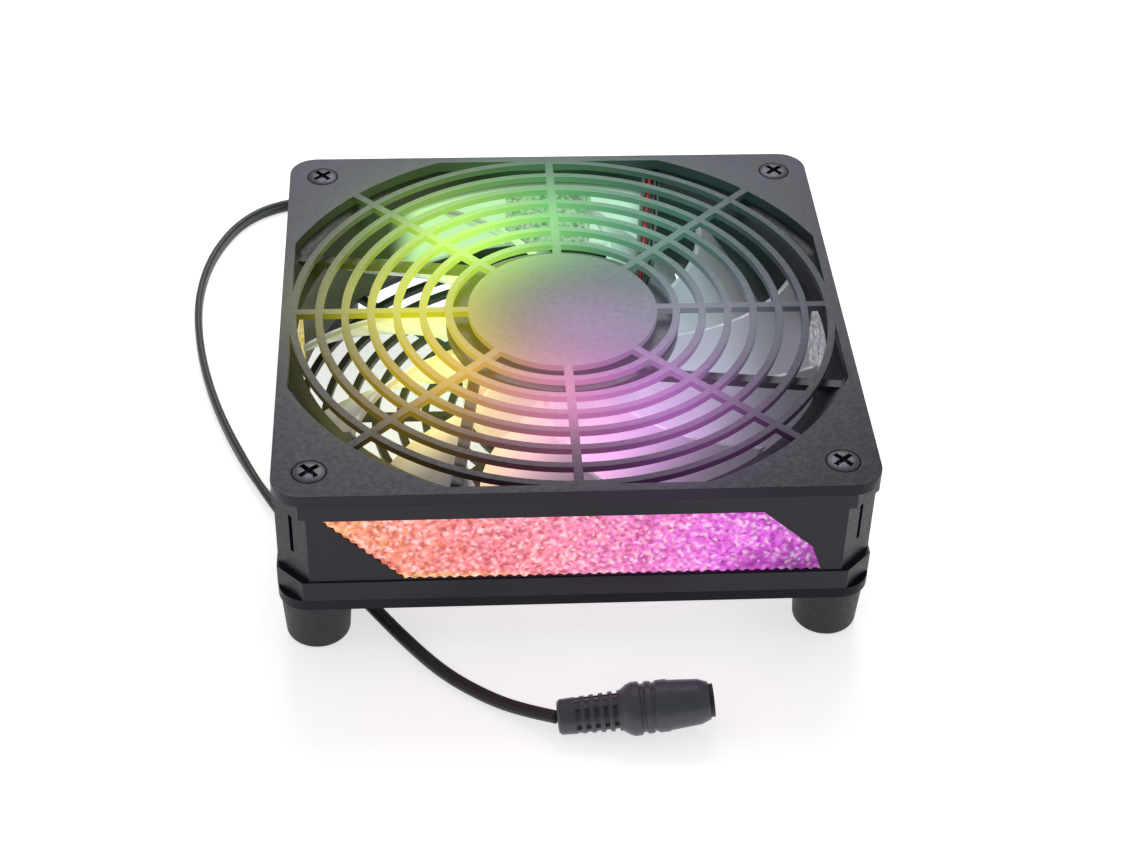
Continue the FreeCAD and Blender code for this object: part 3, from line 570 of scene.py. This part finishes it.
# The lead's route in millimetres: on the floor, its middle is half its width up.
CORD_ROUTE = [
    (24.5, 60, 38.4), (24.5, 65.5, 38.4), (24.4, 70, 33), (24, 73, 23.5), (22.5, 77, 12), (17, 83, 3.2),
    (8, 89.5, 1.5), (-7, 97, 1.5), (-25, 102, 1.5), (-45, 104, 1.5), (-64, 103, 1.5),
    (-75.5, 95.5, 1.5), (-82.5, 80, 1.5), (-85, 62, 1.5), (-83.5, 43, 1.5), (-79.5, 24, 1.5),
    (-73.5, 6, 1.5), (-65.5, -12, 1.5), (-54.5, -30, 1.5), (-43.5, -45.5, 1.5), (-35.5, -57.5, 1.5),
    (-27, -68.5, 1.5), (-18, -75.7, 1.5), (-11, -80, 2.3), (-4.9, -83.1, 3.5),
]


def route_line(points):
    """Points read from the smooth curve that the route controls."""
    curve = bpy.data.curves.new("route", "CURVE")
    curve.dimensions = "3D"
    spline = curve.splines.new("NURBS")
    spline.points.add(len(points) - 1)
    for point, place in zip(spline.points, points):
        point.co = (*[MM * c for c in place], 1)
    spline.order_u = 3
    spline.use_endpoint_u = True
    spline.resolution_u = 12
    carrier = bpy.data.objects.new("route", curve)
    bpy.context.scene.collection.objects.link(carrier)
    mesh = bpy.data.meshes.new_from_object(carrier)
    line = [vertex.co.copy() for vertex in mesh.vertices]
    bpy.data.objects.remove(carrier)
    return line


def twin_section():
    """The lead's section: two round cores side by side, joined by a thin web."""
    core = CORD_THICK / 2
    apart = (CORD_WIDE - CORD_THICK) / 2
    outline = []
    for middle, start in ((apart, -120), (-apart, 60)):
        for k in range(CORE_POINTS):
            angle = math.radians(start + 240 * k / (CORE_POINTS - 1))
            outline.append(Vector((middle + core * math.cos(angle), core * math.sin(angle))))
    return outline


def twin_lead():
    line = route_line(CORD_ROUTE)
    lengths = [0.0]
    for a, b in zip(line, line[1:]):
        lengths.append(lengths[-1] + (b - a).length)
    total = lengths[-1]
    mesh = swept_mesh("twin_lead", line, [length / total for length in lengths])
    mesh.materials.append(MATERIALS["cord_sheath"])
    lead = bpy.data.objects.new("twin_lead", mesh)
    bpy.context.scene.collection.objects.link(lead)
    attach(lead, "housing")
    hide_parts("power_cord")
    print("twin lead length", round(total, 4))


def swept_mesh(name, line, shares):
    """The lead's section carried along the line, and closed at both ends."""
    section = twin_section()
    count = len(section)
    vertices, faces = [], []
    for index, (point, share) in enumerate(zip(line, shares)):
        before, after = line[max(index - 1, 0)], line[min(index + 1, len(line) - 1)]
        wide, across = section_axes((after - before).normalized(), share)
        vertices += [point + (wide * p.x + across * p.y) * MM for p in section]
        if index:
            first = (index - 1) * count
            for k in range(count):
                after_k = (k + 1) % count
                faces.append((first + k, first + after_k, first + count + after_k, first + count + k))
    faces.append(tuple(reversed(range(count))))
    faces.append(tuple(len(vertices) - count + k for k in range(count)))
    mesh = bpy.data.meshes.new(name)
    mesh.from_pydata(vertices, [], faces)
    mesh.shade_smooth()
    return mesh


def section_axes(along, share):
    """Directions of the section's width and thickness at one share of the lead's length."""
    wide = along.cross(Vector((0, 0, 1))) if abs(along.z) < 0.9 else Vector((1, 0, 0))
    wide = (wide - along * wide.dot(along)).normalized()
    across = wide.cross(along)
    turn = math.radians(90) * stands_on_edge(share)
    return (wide * math.cos(turn) + across * math.sin(turn),
            across * math.cos(turn) - wide * math.sin(turn))


def stands_on_edge(share):
    """How far the lead is turned up on its edge along its length, from 0 to 1."""
    rise = min(max((share - ON_EDGE_FROM) / TURN_SHARE, 0), 1)
    fall = min(max((ON_EDGE_TO - share) / TURN_SHARE, 0), 1)
    level = min(rise, fall)
    return level * level * (3 - 2 * level)


twin_lead()


# ---------------------------------------------------------------- studio

FLOOR_HALF = 30.0
LAMPS = [("key", (0.05, 0.6, 0.7), 0.5, 3.3), ("fill", (-0.4, -0.4, 0.9), 0.9, 0.2)]


def sky():
    """An even white sky, dimmer in front of the fan than behind it."""
    world = bpy.data.worlds.new("studio")
    world.use_nodes = True
    tree = Nodes(world.node_tree)
    toward = tree.xyz(tree.add("ShaderNodeTexCoord").outputs["Generated"])
    background = world.node_tree.nodes["Background"]
    background.inputs["Color"].default_value = (1, 1, 1, 1)
    tree.feed(background.inputs["Strength"], tree.range(toward[1], -0.9, 0.5, 0.20, 0.45, smooth=True))
    bpy.context.scene.world = world


def pale_floor():
    mesh = bpy.data.meshes.new("floor")
    corners = [(-1, -1), (1, -1), (1, 1), (-1, 1)]
    mesh.from_pydata([(FLOOR_HALF * x, FLOOR_HALF * y, 0) for x, y in corners], [], [(0, 1, 2, 3)])
    shader = Shader("floor")
    shade = shader.mix(shader.noise(3, 2), (0.90, 0.90, 0.90), (0.94, 0.94, 0.94))
    shader.set(Base_Color=shade, Roughness=0.9, Emission_Color=(1, 1, 1, 1), Emission_Strength=0.65)
    mesh.materials.append(shader.material)
    floor = bpy.data.objects.new("floor", mesh)
    bpy.context.scene.collection.objects.link(floor)


def lamps():
    """Soft square lamps, in metres and watts, turned toward the fan."""
    for name, place, size, power in LAMPS:
        light = bpy.data.lights.new(name, "AREA")
        light.size = size
        light.energy = power
        item = bpy.data.objects.new(name, light)
        item.location = place
        item.rotation_euler = (-Vector(place)).to_track_quat("-Z", "Y").to_euler()
        bpy.context.scene.collection.objects.link(item)


CAMERA_PLACE = Vector((-28.26, -382.43, 323.29)) * MM
CAMERA_RIGHT = Vector((0.99790, -0.06020, 0.02402))
CAMERA_UP = Vector((0.01966, 0.63421, 0.77292))


def camera():
    lens = bpy.data.cameras.new("camera")
    lens.lens = 70.0
    lens.sensor_width = 36.0
    lens.clip_start = 0.01
    item = bpy.data.objects.new("camera", lens)
    bpy.context.scene.collection.objects.link(item)
    right = CAMERA_RIGHT.normalized()
    back = right.cross(CAMERA_UP).normalized()
    up = back.cross(right)
    axes = Matrix((right, up, back)).transposed()
    item.matrix_world = Matrix.Translation(CAMERA_PLACE) @ axes.to_4x4()
    bpy.context.scene.camera = item


bpy.context.scene.view_settings.view_transform = "Standard"
sky()
pale_floor()
lamps()
camera()
